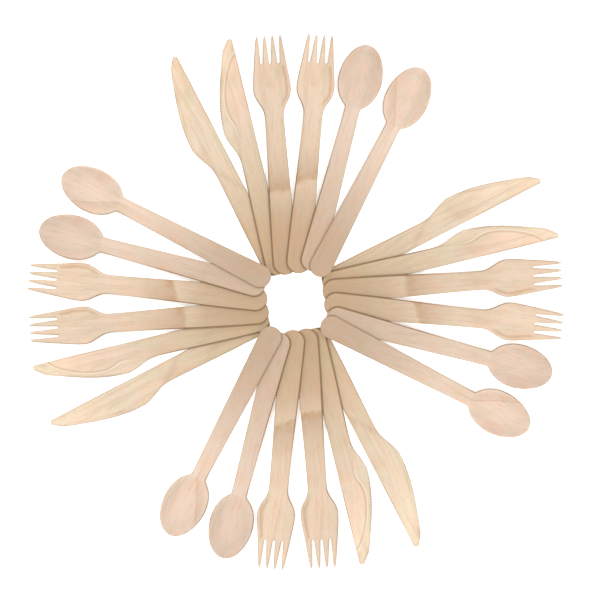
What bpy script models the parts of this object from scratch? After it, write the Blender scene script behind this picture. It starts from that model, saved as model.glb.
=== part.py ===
"""Wooden cutlery set: four fans of two knives, two forks and two spoons around an open centre.

Every piece is one sheet of birch veneer, cut to its outline and pressed to its form. In each
fan the pieces lie on one another at their handle ends, with their heads on the table.
Metres, +Z up, +Y along the first fan. The origin is the centre of the pattern, on the table.
"""
import math

import bmesh
import bpy
from mathutils import Matrix, Vector
from mathutils.bvhtree import BVHTree
from mathutils.geometry import delaunay_2d_cdt, interpolate_bezier

# Veneer
VENEER = 0.0018                 # thickness of the sheet
CLEARANCE = 0.0003              # between a piece and the pieces that carry it

# Knife: the spine is straight, on the right, and the cutting edge is on the left
KNIFE_LENGTH = 0.1636
KNIFE_END_RADIUS = 0.0072
KNIFE_WAIST_WIDTH = 0.0136      # where the handle is narrowest
KNIFE_WAIST_FROM_END = 0.0770
BLADE_LENGTH = 0.0620           # from the heel to the tip
BLADE_WIDTH = 0.0205            # at the heel
BLADE_POINT_WIDTH = 0.0078      # across the blade, where the edge begins to run out to the tip
BLADE_POINT_LENGTH = 0.0065
KNIFE_TIP_RADIUS = 0.0019
HEEL_RADIUS = 0.0030
HEEL_SWEEP = 0.0105             # reach of the hollow curve from the waist toward the heel
EDGE_BELLY = 0.33               # reach of the edge's curve at each end, as a share of the blade
EDGE_RUN_OUT = 70               # degrees from across the blade at which the edge meets the point
TOOTH_PITCH = 0.0017
TOOTH_DEPTH = 0.00045
TEETH_LENGTH = 0.0470           # serrated part of the edge, from the heel
EDGE_THICKNESS = 0.0006
NARROW_BEVEL = 0.0022           # the lower knives' bevel, which follows the edge
BEVEL_FADE = 0.25               # share of its run over which it narrows at each end
WIDE_BEVEL = 0.0044             # the upper knives' bevel, at the belly of the blade
WIDE_BEVEL_FROM_TIP = 0.0106    # along the spine, where its line starts
WIDE_BEVEL_BELLY = 0.0461       # from the tip, where its line turns in from the edge
HEEL_BEVEL = 0.0093             # its width at the heel

# Fork
FORK_LENGTH = 0.1627
FORK_END_RADIUS = 0.0082
FORK_NECK_WIDTH = 0.0130
FORK_HEAD_WIDTH = 0.0257
FORK_HEAD_LENGTH = 0.0555       # from the neck to the tips
FORK_SHOULDER_LENGTH = 0.0190   # from the neck to the widest place
TINE_LENGTH = 0.0200
TINE_ROOTS_WIDTH = 0.0224       # across all four roots
TINE_TIPS_WIDTH = 0.0172        # across all four tips
TINES = 4
TINE_ROOT_WIDTH = 0.0034
TINE_TIP_WIDTH = 0.0013
TINE_POINT_LENGTH = 0.0030
TINE_SHOULDER = 1.35            # width where the point begins, as a share of the tip's
TINE_BLUNTNESS = 0.4            # width of the very end, as a share of the tip's
FORK_DROP = 0.0042              # depth of the head below the handle
FORK_DROP_START = 0.0033        # from the neck toward the handle end
FORK_TIP_RISE = 0.12            # share of the drop's run that lies beyond the tips
FORK_SIDE_RISE = 0.0016         # height of the head's sides above its middle

# Spoon
SPOON_LENGTH = 0.1578
SPOON_END_RADIUS = 0.0077
SPOON_NECK_WIDTH = 0.0104
BOWL_LENGTH = 0.0445
BOWL_WIDTH = 0.0299
BOWL_DEPTH = 0.0058
NECK_BLEND = 0.0016             # how softly the handle runs into the bowl
BOWL_FULLNESS = 0.05            # share by which the bowl is wider toward the handle
BOWL_FLATNESS = 2.6             # power of the bowl's section: more is flatter at the bottom
BOWL_LIP = 1.25                 # power at the lip: more is softer

# Pattern: each piece's handle end (centre of its round end) and its turn, seen from above
FAN_COUNT = 4
LAYERS = (
    # name, x, y in metres, degrees clockwise from +Y
    ("knife_lower", -0.01503, 0.0249, -26.8),
    ("knife_upper", -0.01322, 0.02524, -13.1),
    ("fork_lower", -0.0069, 0.0264, -3.65),
    ("fork_upper", 0.0022, 0.0273, 6.2),
    ("spoon_lower", 0.0114, 0.0282, 15.5),
    ("spoon_upper", 0.0173, 0.0241, 27.9),
)
COLOURS = {
    "knife_lower": (0.74, 0.58, 0.40),
    "knife_upper": (0.78, 0.61, 0.44),
    "fork_lower": (0.72, 0.55, 0.39),
    "fork_upper": (0.74, 0.57, 0.40),
    "spoon_lower": (0.78, 0.61, 0.47),
    "spoon_upper": (0.75, 0.58, 0.45),
}
WOOD_ROUGHNESS = 0.62
EDGE_SHARPNESS = 40             # degrees between faces from which an edge is shaded sharp
BEVEL_SHARPNESS = 7

# Fineness
ARC_STEP = 15                   # degrees, along round ends
SLOT_STEP = 45                  # degrees, round the bottoms of the slots between the tines
CURVE_POINTS = 8                # along each free curve of an outline
EDGE_POINTS = 9                 # along the plain cutting edge
HIP_POINTS = 5                  # along the knife's handle, below its waist
BEVEL_POINTS = 12               # along a narrow bevel's line, and along each half of a wide one's
SHOULDER_POINTS = 9             # along the fork's shoulder
CHEEK_POINTS = 5                # from there to the tines
FORK_ROWS = 8                   # across the head
BOWL_STEP = 10                  # degrees, round the bowl
BOWL_RINGS = ((0.84, 22), (0.65, 16), (0.42, 10), (0.2, 5))
SAMPLE_STEP = 0.0008            # of the height samples where one piece lies over another
LAYING_PASSES = 3
MM = 0.001                      # flat shapes are triangulated in millimetres


def clear_scene():
    for item in list(bpy.data.objects):
        bpy.data.objects.remove(item)


def arc(centre, radius, start, end, step=ARC_STEP):
    """Points on an arc from one angle to another, in degrees."""
    steps = max(2, round(abs(end - start) / step))
    angles = [math.radians(start + (end - start) * k / steps) for k in range(steps + 1)]
    return [Vector(centre) + radius * Vector((math.cos(angle), math.sin(angle))) for angle in angles]


def curve(start, lean_start, lean_end, end, count=CURVE_POINTS):
    """Points on a free curve, its ends leaning toward two guide points."""
    guides = [Vector(point).to_3d() for point in (start, lean_start, lean_end, end)]
    return [point.to_2d() for point in interpolate_bezier(*guides, count)]


def handle_end(radius):
    """The round end of a handle, from left to right round the bottom."""
    return arc((0, 0), radius, 180, 360)


def mirrored(points):
    return [Vector((-point.x, point.y)) for point in reversed(points)]


def stations(points, step):
    """Points at equal steps along a path, with the direction of the path at each."""
    found = []
    wanted = 0.0
    passed = 0.0
    for start, end in zip(points, points[1:]):
        run = (end - start).length
        while wanted <= passed + run:
            found.append((start.lerp(end, (wanted - passed) / run), (end - start).normalized()))
            wanted += step
        passed += run
    return found


def left_of(direction):
    return Vector((-direction.y, direction.x))


def pressed_sheet(name, outline, inner, height, crease=(), thin=()):
    """Fill an outline, press it to a height and give its thin points to the group "full"."""
    points = [point / MM for point in [*outline, *inner, *crease]]
    edges = [(k, (k + 1) % len(outline)) for k in range(len(outline))]
    first = len(outline) + len(inner)
    edges += [(first + k, first + k + 1) for k in range(len(crease) - 1)]
    flat, _, faces, origins, _, _ = delaunay_2d_cdt(points, edges, [], 1, 0.01)
    mesh = bpy.data.meshes.new(name)
    mesh.from_pydata([(p.x * MM, p.y * MM, height(p.x * MM, p.y * MM)) for p in flat], [], faces)
    thin = set(thin)
    full = [k for k, sources in enumerate(origins) if not thin.intersection(sources)]
    return mesh, full


def knife_outline():
    """The knife's outline, anticlockwise, with the cutting edge and the heel as paths of their own."""
    radius = KNIFE_END_RADIUS
    spine = radius
    tip = KNIFE_LENGTH - radius
    heel = tip - BLADE_LENGTH
    waist = KNIFE_WAIST_FROM_END - radius
    tip_centre = (spine - KNIFE_TIP_RADIUS, tip - KNIFE_TIP_RADIUS)
    point_start = Vector((spine - BLADE_POINT_WIDTH, tip - BLADE_POINT_LENGTH))
    heel_left = Vector((spine - BLADE_WIDTH, heel))
    waist_left = Vector((spine - KNIFE_WAIST_WIDTH, waist))
    belly = BLADE_LENGTH * EDGE_BELLY
    slant = math.radians(EDGE_RUN_OUT)
    run_out = Vector((math.cos(slant), math.sin(slant))) * belly
    edge = curve(point_start, point_start - run_out, heel_left + Vector((0, belly)), heel_left, EDGE_POINTS)
    sweep_start = heel_left + Vector((HEEL_RADIUS / 4, -HEEL_RADIUS))
    sweep_lean = sweep_start.lerp(waist_left, 0.5)
    sweep = curve(sweep_start, sweep_lean, waist_left + Vector((0, HEEL_SWEEP)), waist_left)
    hip_end = Vector((-radius, waist / 4))
    reach = Vector((0, waist / 4))
    hip = curve(waist_left, waist_left - reach, hip_end + reach, hip_end, HIP_POINTS)
    return handle_end(radius), arc(tip_centre, KNIFE_TIP_RADIUS, 0, 150), edge, sweep, hip


def toothed(edge):
    """The cutting edge with teeth from the heel on: every second point lies a tooth's depth inside."""
    count = 2 * round(TEETH_LENGTH / TOOTH_PITCH)
    teeth = []
    for number, (point, direction) in enumerate(stations(edge[::-1], TOOTH_PITCH / 2)[:count + 1]):
        depth = TOOTH_DEPTH if number % 2 else 0
        teeth.append(point - left_of(direction) * depth)
    plain = [point for point in edge if point.y > teeth[-1].y + TOOTH_PITCH]
    return plain + teeth[::-1]


def narrow_bevel_line(tip, edge, sweep):
    """The line where a narrow bevel begins, from the tip, inside the edge, to the waist."""
    path = tip[-1:] + edge + sweep[1:]
    total = sum((b - a).length for a, b in zip(path, path[1:]))
    line = tip[-1:]
    for number, (point, direction) in enumerate(stations(path, total / BEVEL_POINTS)[1:BEVEL_POINTS], 1):
        share = number / BEVEL_POINTS
        fade = min(1, share / BEVEL_FADE, (1 - share) / BEVEL_FADE)
        line.append(point + left_of(direction) * NARROW_BEVEL * fade)
    return line + sweep[-1:]


def wide_bevel_line(start, edge, sweep):
    """The line where a wide bevel begins: from the spine along the edge, and across the heel to the waist."""
    top = KNIFE_LENGTH - KNIFE_END_RADIUS
    belly_y = top - WIDE_BEVEL_BELLY
    belly_edge = min(edge, key=lambda point: abs(point.y - belly_y))
    belly = Vector((belly_edge.x + WIDE_BEVEL, belly_y))
    heel = edge[-1] + Vector((HEEL_BEVEL, 0))
    reach = Vector((0, (start.y - belly_y) / 3))
    across = Vector((start.x - (start.x - belly.x) / 2, start.y - reach.y / 3))
    upper = curve(start, across, belly + reach, belly, BEVEL_POINTS)
    lower = curve(belly, belly - reach * 0.7, heel + Vector((0, reach.y * 0.6)), heel, BEVEL_POINTS // 2)
    waist = sweep[-1]
    half = Vector((0, reach.y * 0.5))
    out = curve(heel, heel - half, waist + half, waist, BEVEL_POINTS // 2)
    return [start] + upper[1:] + lower[1:] + out[1:-1] + [waist]


def knife(name):
    end, tip, edge, sweep, hip = knife_outline()
    cutting = toothed(edge)
    if name == "knife_lower":
        spine = []
        crease = narrow_bevel_line(tip, edge, sweep)
        thin_from = len(end) + len(tip)
    else:
        spine = [Vector((KNIFE_END_RADIUS, KNIFE_LENGTH - KNIFE_END_RADIUS - WIDE_BEVEL_FROM_TIP))]
        crease = wide_bevel_line(spine[0], edge, sweep)
        thin_from = len(end) + len(spine)
    outline = end + spine + tip + cutting + sweep + hip[1:]
    thin = range(thin_from, len(outline) - len(hip))
    grip = [Vector((0, (KNIFE_WAIST_FROM_END - KNIFE_END_RADIUS) * share)) for share in (0, 0.5, 1)]
    return pressed_sheet(name, outline, grip, flat, crease, thin)


def flat(x, y):
    return 0.0


def fork_side():
    """The right side of the fork from the handle end to the roots of the tines."""
    radius = FORK_END_RADIUS
    tip = FORK_LENGTH - radius
    neck = Vector((FORK_NECK_WIDTH / 2, tip - FORK_HEAD_LENGTH))
    widest = Vector((FORK_HEAD_WIDTH / 2, neck.y + FORK_SHOULDER_LENGTH))
    root = Vector((TINE_ROOTS_WIDTH / 2, tip - TINE_LENGTH))
    lean = Vector((0, FORK_SHOULDER_LENGTH * 0.42))
    handle = curve((radius, 0), (radius, neck.y * 0.4), (neck.x, neck.y * 0.7), neck)
    shoulder = curve(neck, neck + lean, widest - lean, widest, SHOULDER_POINTS)
    cheek_lean = widest.lerp(root, 0.35) + Vector((widest.x - root.x, 0)) / 3
    cheek = curve(widest, cheek_lean, root.lerp(widest, 0.3), root, CHEEK_POINTS)
    return handle[1:] + shoulder[1:] + cheek[1:]


def tines():
    """The tines' outline from the right root to the left one."""
    tip = FORK_LENGTH - FORK_END_RADIUS
    root = tip - TINE_LENGTH
    gap = (TINE_ROOTS_WIDTH - TINES * TINE_ROOT_WIDTH) / (TINES - 1)
    points = []
    for number in range(TINES):
        share = 0.5 - number / (TINES - 1)
        foot = Vector((share * (TINE_ROOTS_WIDTH - TINE_ROOT_WIDTH), root))
        top = Vector((share * (TINE_TIPS_WIDTH - TINE_TIP_WIDTH), tip))
        half_foot = Vector((TINE_ROOT_WIDTH / 2, 0))
        half_top = Vector((TINE_TIP_WIDTH / 2, 0))
        below = top.lerp(foot, TINE_POINT_LENGTH / TINE_LENGTH)
        half_middle = (half_foot + half_top) / 2
        shoulder = half_top * TINE_SHOULDER
        points += [foot.lerp(below, 0.5) + half_middle, below + shoulder]
        points += [top + half_top * TINE_BLUNTNESS, top - half_top * TINE_BLUNTNESS]
        points += [below - shoulder, foot.lerp(below, 0.5) - half_middle]
        if number < TINES - 1:
            points += arc(foot - half_foot - Vector((gap / 2, 0)), gap / 2, 360, 180, SLOT_STEP)
    return points


def fork_height(x, y):
    """The head dips below the handle, its tips rise again, and its sides curl up."""
    tip = FORK_LENGTH - FORK_END_RADIUS
    neck = tip - FORK_HEAD_LENGTH
    start = neck - FORK_DROP_START
    along = (y - start) / (tip - start) * (1 - FORK_TIP_RISE)
    dip = math.sin(math.pi * min(max(along, 0), 1)) ** 2
    side = (2 * x / FORK_HEAD_WIDTH) ** 2
    return -FORK_DROP * dip + FORK_SIDE_RISE * side * dip


def fork(name):
    side = fork_side()
    outline = handle_end(FORK_END_RADIUS) + side + tines() + mirrored(side)
    tip = FORK_LENGTH - FORK_END_RADIUS
    neck = tip - FORK_HEAD_LENGTH
    root = tip - TINE_LENGTH
    inner = [Vector((0, neck * share)) for share in (0, 0.35, 0.7, 0.92)]
    for row in range(FORK_ROWS):
        share = (row + 0.3) / FORK_ROWS
        narrow, wide = FORK_NECK_WIDTH / 2, TINE_ROOTS_WIDTH / 2
        half = narrow + (wide - narrow) * min(1, share * 1.6)
        y = neck + (root - neck) * share
        inner += [Vector((half * across, y)) for across in (-0.55, 0, 0.55)]
    return pressed_sheet(name, outline, inner, fork_height)


def bowl_place():
    """Height up the spoon of the bowl's middle, and the bowl's half width and half length."""
    return SPOON_LENGTH - SPOON_END_RADIUS - BOWL_LENGTH / 2, BOWL_WIDTH / 2, BOWL_LENGTH / 2


def spoon_half_width(y):
    middle, half_width, half_length = bowl_place()
    taper = min(max(y / (middle - half_length), 0), 1)
    handle = SPOON_END_RADIUS + (SPOON_NECK_WIDTH / 2 - SPOON_END_RADIUS) * taper
    up = (y - middle) / half_length
    bowl = half_width * math.sqrt(max(1 - up * up, 0)) * (1 - BOWL_FULLNESS * up)
    if up > 0:
        return bowl
    blend = NECK_BLEND * min(1, -up) * min(max((up + 1.3) * 4, 0), 1)
    return (handle + bowl + math.sqrt((handle - bowl) ** 2 + blend ** 2)) / 2


def spoon_height(x, y):
    """The bowl is pressed below the handle, with a flat bottom and a soft lip."""
    middle, half_width, half_length = bowl_place()
    out = min(math.hypot(x / half_width, (y - middle) / half_length), 1)
    return -BOWL_DEPTH * (1 - out ** BOWL_FLATNESS) ** BOWL_LIP


def spoon(name):
    middle, half_width, half_length = bowl_place()
    neck = middle - half_length
    ups = [neck * share for share in (0.15, 0.5, 0.85)]
    ups += [middle + half_length * share for share in (-1.1, -1, -0.93, -0.86, -0.75)]
    ups += [middle + half_length * math.sin(math.radians(angle)) for angle in range(-40, 90, BOWL_STEP)]
    side = [Vector((spoon_half_width(y), y)) for y in ups]
    tip = Vector((0, middle + half_length))
    outline = handle_end(SPOON_END_RADIUS) + side + [tip] + mirrored(side)
    inner = [Vector((0, neck * share)) for share in (0, 0.33, 0.66)]
    for ring, count in BOWL_RINGS:
        for k in range(count):
            angle = 2 * math.pi * (k + 0.5) / count
            inner.append(Vector((ring * half_width * math.cos(angle), middle + ring * half_length * math.sin(angle))))
    inner.append(Vector((0, middle)))
    return pressed_sheet(name, outline, inner, spoon_height)


def birch(name):
    material = bpy.data.materials.new("birch_" + name)
    material.use_nodes = True
    shader = material.node_tree.nodes["Principled BSDF"]
    shader.inputs["Base Color"].default_value = (*COLOURS[name], 1)
    shader.inputs["Roughness"].default_value = WOOD_ROUGHNESS
    shader.inputs["Metallic"].default_value = 0
    return material


def thickened(sheet, full):
    """The pressed sheet given the veneer's thickness, which thins out at a cutting edge."""
    blank = bpy.data.objects.new("blank", sheet)
    bpy.context.scene.collection.objects.link(blank)
    blank.vertex_groups.new(name="full").add(full, 1.0, 'REPLACE')
    veneer = blank.modifiers.new("veneer", 'SOLIDIFY')
    veneer.thickness = VENEER
    veneer.offset = 1
    veneer.use_even_offset = True
    veneer.vertex_group = "full"
    veneer.thickness_vertex_group = EDGE_THICKNESS / VENEER
    evaluated = blank.evaluated_get(bpy.context.evaluated_depsgraph_get())
    solid = bpy.data.meshes.new_from_object(evaluated)
    bpy.data.objects.remove(blank)
    return solid


def make_piece(layer):
    """The finished piece of one layer of the fan, with its material."""
    if layer.startswith("knife"):
        sheet, full = knife(layer)
        sharp = BEVEL_SHARPNESS
    elif layer.startswith("fork"):
        sheet, full = fork(layer)
        sharp = EDGE_SHARPNESS
    else:
        sheet, full = spoon(layer)
        sharp = EDGE_SHARPNESS
    solid = thickened(sheet, full)
    solid.name = layer
    solid.shade_smooth()
    solid.set_sharp_from_angle(angle=math.radians(sharp))
    solid.materials.append(birch(layer))
    return solid


def centre_of_weight(points, faces):
    """Centre of weight of a closed solid."""
    volume = 0.0
    moment = Vector((0, 0, 0))
    for face in faces:
        for k in range(1, len(face) - 1):
            a, b, c = points[face[0]], points[face[k]], points[face[k + 1]]
            part = a.dot(b.cross(c)) / 6
            volume += part
            moment += (a + b + c) * part / 4
    return moment / volume


def needed_heights(points, faces, below):
    """How far the solid has to rise at each place to clear the table and the pieces below it."""
    needed = [Vector((point.x, point.y, -point.z)) for point in points]
    if not below:
        return needed
    solid = BVHTree.FromPolygons(points, faces)
    reach = 1.0
    left, right = min(p.x for p in points), max(p.x for p in points)
    near, far = min(p.y for p in points), max(p.y for p in points)
    columns = math.ceil((right - left) / SAMPLE_STEP)
    rows = math.ceil((far - near) / SAMPLE_STEP)
    for column in range(columns + 1):
        for row in range(rows + 1):
            x = left + column * SAMPLE_STEP
            y = near + row * SAMPLE_STEP
            top = below.ray_cast(Vector((x, y, reach)), Vector((0, 0, -1)))[0]
            if top is None:
                continue
            under = solid.ray_cast(Vector((x, y, -reach)), Vector((0, 0, 1)))[0]
            if under is not None:
                needed.append(Vector((x, y, top.z + CLEARANCE - under.z)))
    return needed


def carrying_plane(needed, weight):
    """The plane through the three places that carry the weight, and its height there.

    Seen as a cloud of points, the needed heights have a hull. A body comes to rest on the
    face of that hull that lies above its centre of weight.
    """
    hull = bmesh.new()
    for place in needed:
        hull.verts.new(place / MM)
    bmesh.ops.convex_hull(hull, input=hull.verts, use_existing_faces=False)
    bmesh.ops.triangulate(hull, faces=hull.faces)
    hull.normal_update()
    tree = BVHTree.FromBMesh(hull)
    start = Vector((weight.x / MM, weight.y / MM, 1000))
    place, normal, _, _ = tree.ray_cast(start, Vector((0, 0, -1)))
    hull.free()
    if normal.z < 0:
        normal = -normal
    return place.z * MM, normal


def laid_down(points, faces, place, below):
    """The pose in which a piece rests on the table and on the pieces below it."""
    pose = place
    for _ in range(LAYING_PASSES):
        posed = [pose @ point for point in points]
        weight = centre_of_weight(posed, faces)
        rise, normal = carrying_plane(needed_heights(posed, faces, below), weight)
        tilt = Vector((0, 0, 1)).rotation_difference(normal).to_matrix().to_4x4()
        foot = Matrix.Translation((weight.x, weight.y, 0))
        pose = Matrix.Translation((0, 0, rise)) @ foot @ tilt @ foot.inverted() @ pose
    return pose


def fan_turn(number):
    """Turn of one fan about the pattern's centre, clockwise from the first."""
    return Matrix.Rotation(-2 * math.pi * number / FAN_COUNT, 4, 'Z')


def build():
    clear_scene()
    fans = []
    for number in range(FAN_COUNT):
        fan = bpy.data.objects.new("fan%d" % (number + 1), None)
        fan.matrix_world = fan_turn(number)
        bpy.context.scene.collection.objects.link(fan)
        fans.append(fan)
    heap_points, heap_faces = [], []
    for name, x, y, turn in LAYERS:
        solid = make_piece(name)
        points = [vertex.co.copy() for vertex in solid.vertices]
        faces = [tuple(face.vertices) for face in solid.polygons]
        place = Matrix.Translation((x, y, 0)) @ Matrix.Rotation(-math.radians(turn), 4, 'Z')
        below = BVHTree.FromPolygons(heap_points, heap_faces) if heap_faces else None
        pose = laid_down(points, faces, place, below)
        for fan in fans:
            piece = bpy.data.objects.new(fan.name + "_" + name, solid)
            bpy.context.scene.collection.objects.link(piece)
            piece.parent = fan
            piece.matrix_local = pose
        for number in range(FAN_COUNT):
            first = len(heap_points)
            heap_points += [fan_turn(number) @ pose @ point for point in points]
            heap_faces += [tuple(first + k for k in face) for face in faces]


build()
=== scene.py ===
import math
from functools import partialmethod

import bpy
import numpy as np
from bpy.props import FloatProperty, FloatVectorProperty, IntProperty, PointerProperty
from mathutils import Matrix, Vector
from mathutils.geometry import delaunay_2d_cdt, interpolate_bezier


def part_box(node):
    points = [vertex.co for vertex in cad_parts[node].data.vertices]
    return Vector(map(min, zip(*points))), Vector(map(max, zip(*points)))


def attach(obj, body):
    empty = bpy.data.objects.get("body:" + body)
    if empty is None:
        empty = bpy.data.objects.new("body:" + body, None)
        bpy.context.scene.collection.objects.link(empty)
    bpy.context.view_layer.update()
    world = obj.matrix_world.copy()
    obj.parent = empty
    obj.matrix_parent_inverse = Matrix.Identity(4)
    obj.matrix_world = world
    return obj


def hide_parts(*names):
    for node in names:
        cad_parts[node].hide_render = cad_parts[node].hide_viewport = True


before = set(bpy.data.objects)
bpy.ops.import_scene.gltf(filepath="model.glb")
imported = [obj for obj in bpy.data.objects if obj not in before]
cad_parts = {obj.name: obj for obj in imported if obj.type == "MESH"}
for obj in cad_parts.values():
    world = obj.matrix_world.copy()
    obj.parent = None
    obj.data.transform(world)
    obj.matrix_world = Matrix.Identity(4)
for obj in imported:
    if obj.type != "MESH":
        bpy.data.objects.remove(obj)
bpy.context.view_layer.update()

bl_info = {
    "name": "Birch Cutlery Fans",
    "version": (1, 0, 0),
    "blender": (4, 5, 0),
    "location": "3D View > Sidebar > Cutlery",
    "description": "Pressed birch knives, forks and spoons, laid in four fans round an open centre",
    "category": "Add Mesh",
}

FANS = (1, 2, 3, 4)
MM = 0.001
SLICE = 0.031  # between the slices of wood that one layer's pieces are cut from
BOX_TOLERANCE = 0.001  # how far a piece may reach past its CAD node
FLOOR_DROP = 0.00005  # keeps the floor out of the plane of the undersides
LAMP_PLACE = Vector((0.27, 0.30, 0.87))  # for the first fan; the others are quarter turns of it
LAMP_AIM = Vector((-0.010, 0.150, 0.0))
TINE_STEP = 0.0012  # between the points along a tine
ROW_HEIGHT = 0.87  # of a row of equal triangles, as a share of their side
NEARLY = 0.93  # points of the rim's ring keep this share of it clear
ROOM = 0.4  # between the rim's ring and the next points, as a share of their spacing
CROWDED = 0.6  # points closer than this share of the rim are thinned out
SAME_POINT = 0.005  # in millimetres
SHARP_EDGE = math.radians(50)  # edges that bend more than this are rounded
OFF_EDGE = -1.0  # stands for a point on no cutting edge
NO_BEVEL = -9.0  # stands for a piece without a bevel
WARM = (1.04, 0.91, 0.83)  # tints that the wood is multiplied by
COOL = (0.93, 0.98, 0.90)
ROSY = (1.10, 1.03, 1.04)
WHITE = (1.0, 1.0, 1.0)


# Sizes and colours

def length(name, description, default):
    return FloatProperty(name=name, description=description, default=default, unit='LENGTH', precision=5)


def angle(name, description, degrees):
    return FloatProperty(name=name, description=description, default=math.radians(degrees), subtype='ANGLE')


def amount(name, description, default, unit='NONE'):
    return FloatProperty(name=name, description=description, default=default, unit=unit)


def share(name, description, default):
    return FloatProperty(name=name, description=description, default=default, min=0.0, subtype='FACTOR')


def colour(name, description, default):
    return FloatVectorProperty(name=name, description=description, default=default, size=3, subtype='COLOR',
                               min=0.0, max=1.0)


class VeneerSizes(bpy.types.PropertyGroup):
    """The birch veneer that every piece is pressed from."""
    thickness: length("Thickness", "Thickness of the pressed veneer", 0.0018)
    rounding: length("Edge Rounding", "Radius of the tumbled edges", 0.00026)
    rounding_steps: IntProperty(name="Rounding Steps", description="Faces across a rounded edge", default=3)
    grid: length("Grid", "Spacing of points where the surface curves", 0.0011)
    handle_grid: length("Handle Grid", "Spacing of points on a flat handle", 0.0026)
    rim: length("Rim", "Width of the ring of faces along the outline", 0.0007)
    warp: length("Warp", "How far the veneer springs back out of true", 0.00016)
    warp_span: length("Warp Span", "Distance between two rises of that warp", 0.045)


class KnifeSizes(bpy.types.PropertyGroup):
    """A table knife with its spine on the right and its cutting edge on the left."""
    full_length: length("Length", "From the handle's end to the tip", 0.1636)
    end_radius: length("End Radius", "Radius of the handle's round end", 0.0072)
    waist_width: length("Waist Width", "Width where the handle is narrowest", 0.0136)
    waist_from_end: length("Waist", "From the handle's end to the waist", 0.0770)
    blade_length: length("Blade Length", "From the heel to the tip", 0.0620)
    blade_width: length("Blade Width", "Width at the heel", 0.0205)
    point_width: length("Point Width", "Width where the edge turns to the tip", 0.0078)
    point_length: length("Point Length", "From there to the tip", 0.0065)
    tip_radius: length("Tip Radius", "Radius of the tip", 0.0019)
    heel_radius: length("Heel Radius", "Rounding at the heel", 0.0030)
    heel_sweep: length("Heel Sweep", "Reach of the curve from the waist to the heel", 0.0105)
    edge_belly: share("Edge Belly", "Reach of the edge's curve, of the blade", 0.33)
    run_out: angle("Run Out", "Angle at which the edge meets the point", 70)
    tooth_pitch: length("Tooth Pitch", "From tooth to tooth", 0.0017)
    tooth_depth: length("Tooth Depth", "Depth of the teeth", 0.00045)
    teeth_length: length("Teeth Length", "Serrated part of the edge, from the heel", 0.0470)
    edge_thickness: length("Edge Thickness", "Thickness left at the cutting edge", 0.0006)
    narrow_bevel: length("Narrow Bevel", "Its width on the lower knives", 0.0022)
    bevel_fade: share("Bevel Fade", "Share of its run over which it narrows at each end", 0.25)
    wide_bevel: length("Wide Bevel", "Its width on the upper knives, at the belly", 0.0044)
    wide_from_tip: length("Wide Bevel Start", "Along the spine from the tip to its line", 0.0106)
    wide_belly: length("Wide Bevel Belly", "From the tip to where its line turns in", 0.0461)
    heel_bevel: length("Heel Bevel", "Width of that bevel at the heel", 0.0093)
    step_width: length("Step Width", "Width of the pressed step at a bevel's line", 0.0005)
    step_depth: share("Step Depth", "Share of the bevel's fall that lies in that step", 0.3)


class ForkSizes(bpy.types.PropertyGroup):
    """A fork with four tines."""
    full_length: length("Length", "From the handle's end to the tips", 0.1627)
    end_radius: length("End Radius", "Radius of the handle's round end", 0.0082)
    neck_width: length("Neck Width", "Width of the neck", 0.0130)
    head_width: length("Head Width", "Width of the head", 0.0257)
    head_length: length("Head Length", "From the neck to the tips", 0.0555)
    shoulder_length: length("Shoulder", "From the neck to the widest place", 0.0190)
    tine_length: length("Tine Length", "Length of the tines", 0.0182)
    roots_width: length("Roots Width", "Across all roots", 0.0220)
    tips_width: length("Tips Width", "Across all tips", 0.0172)
    tines: IntProperty(name="Tines", description="Number of tines", default=4, min=2)
    root_width: length("Root Width", "Width of one tine at its root", 0.0042)
    tip_width: length("Tip Width", "Width of one tine at its tip", 0.0014)
    point_length: length("Point Length", "Length of a tine's point", 0.0030)
    shoulder_share: share("Point Shoulder", "Width where the point begins, of the tip's", 1.35)
    fullness: share("Fullness", "How soon a tine widens from its point to its root", 0.62)
    bluntness: share("Bluntness", "Width of the very end, of the tip's", 0.4)
    drop: length("Drop", "Depth of the head below the handle", 0.0042)
    drop_start: length("Drop Start", "From the neck toward the handle end", 0.0033)
    tip_rise: share("Tip Rise", "Share of the drop's run that lies beyond the tips", 0.12)
    side_rise: length("Side Rise", "Height of the head's sides above its middle", 0.0016)


class SpoonSizes(bpy.types.PropertyGroup):
    """A spoon with an oval bowl."""
    full_length: length("Length", "From the handle's end to the bowl's tip", 0.1578)
    end_radius: length("End Radius", "Radius of the handle's round end", 0.0077)
    neck_width: length("Neck Width", "Width of the neck", 0.0104)
    bowl_length: length("Bowl Length", "Length of the bowl", 0.0445)
    bowl_width: length("Bowl Width", "Width of the bowl", 0.0299)
    bowl_depth: length("Bowl Depth", "Depth of the bowl", 0.0058)
    neck_blend: length("Neck Blend", "How softly the handle runs into the bowl", 0.0016)
    fullness: share("Fullness", "How much wider the bowl is toward the handle", 0.05)
    flatness: share("Flatness", "More is flatter at the bowl's bottom", 2.6)
    lip: share("Lip", "More is softer at the bowl's lip", 1.25)


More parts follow.
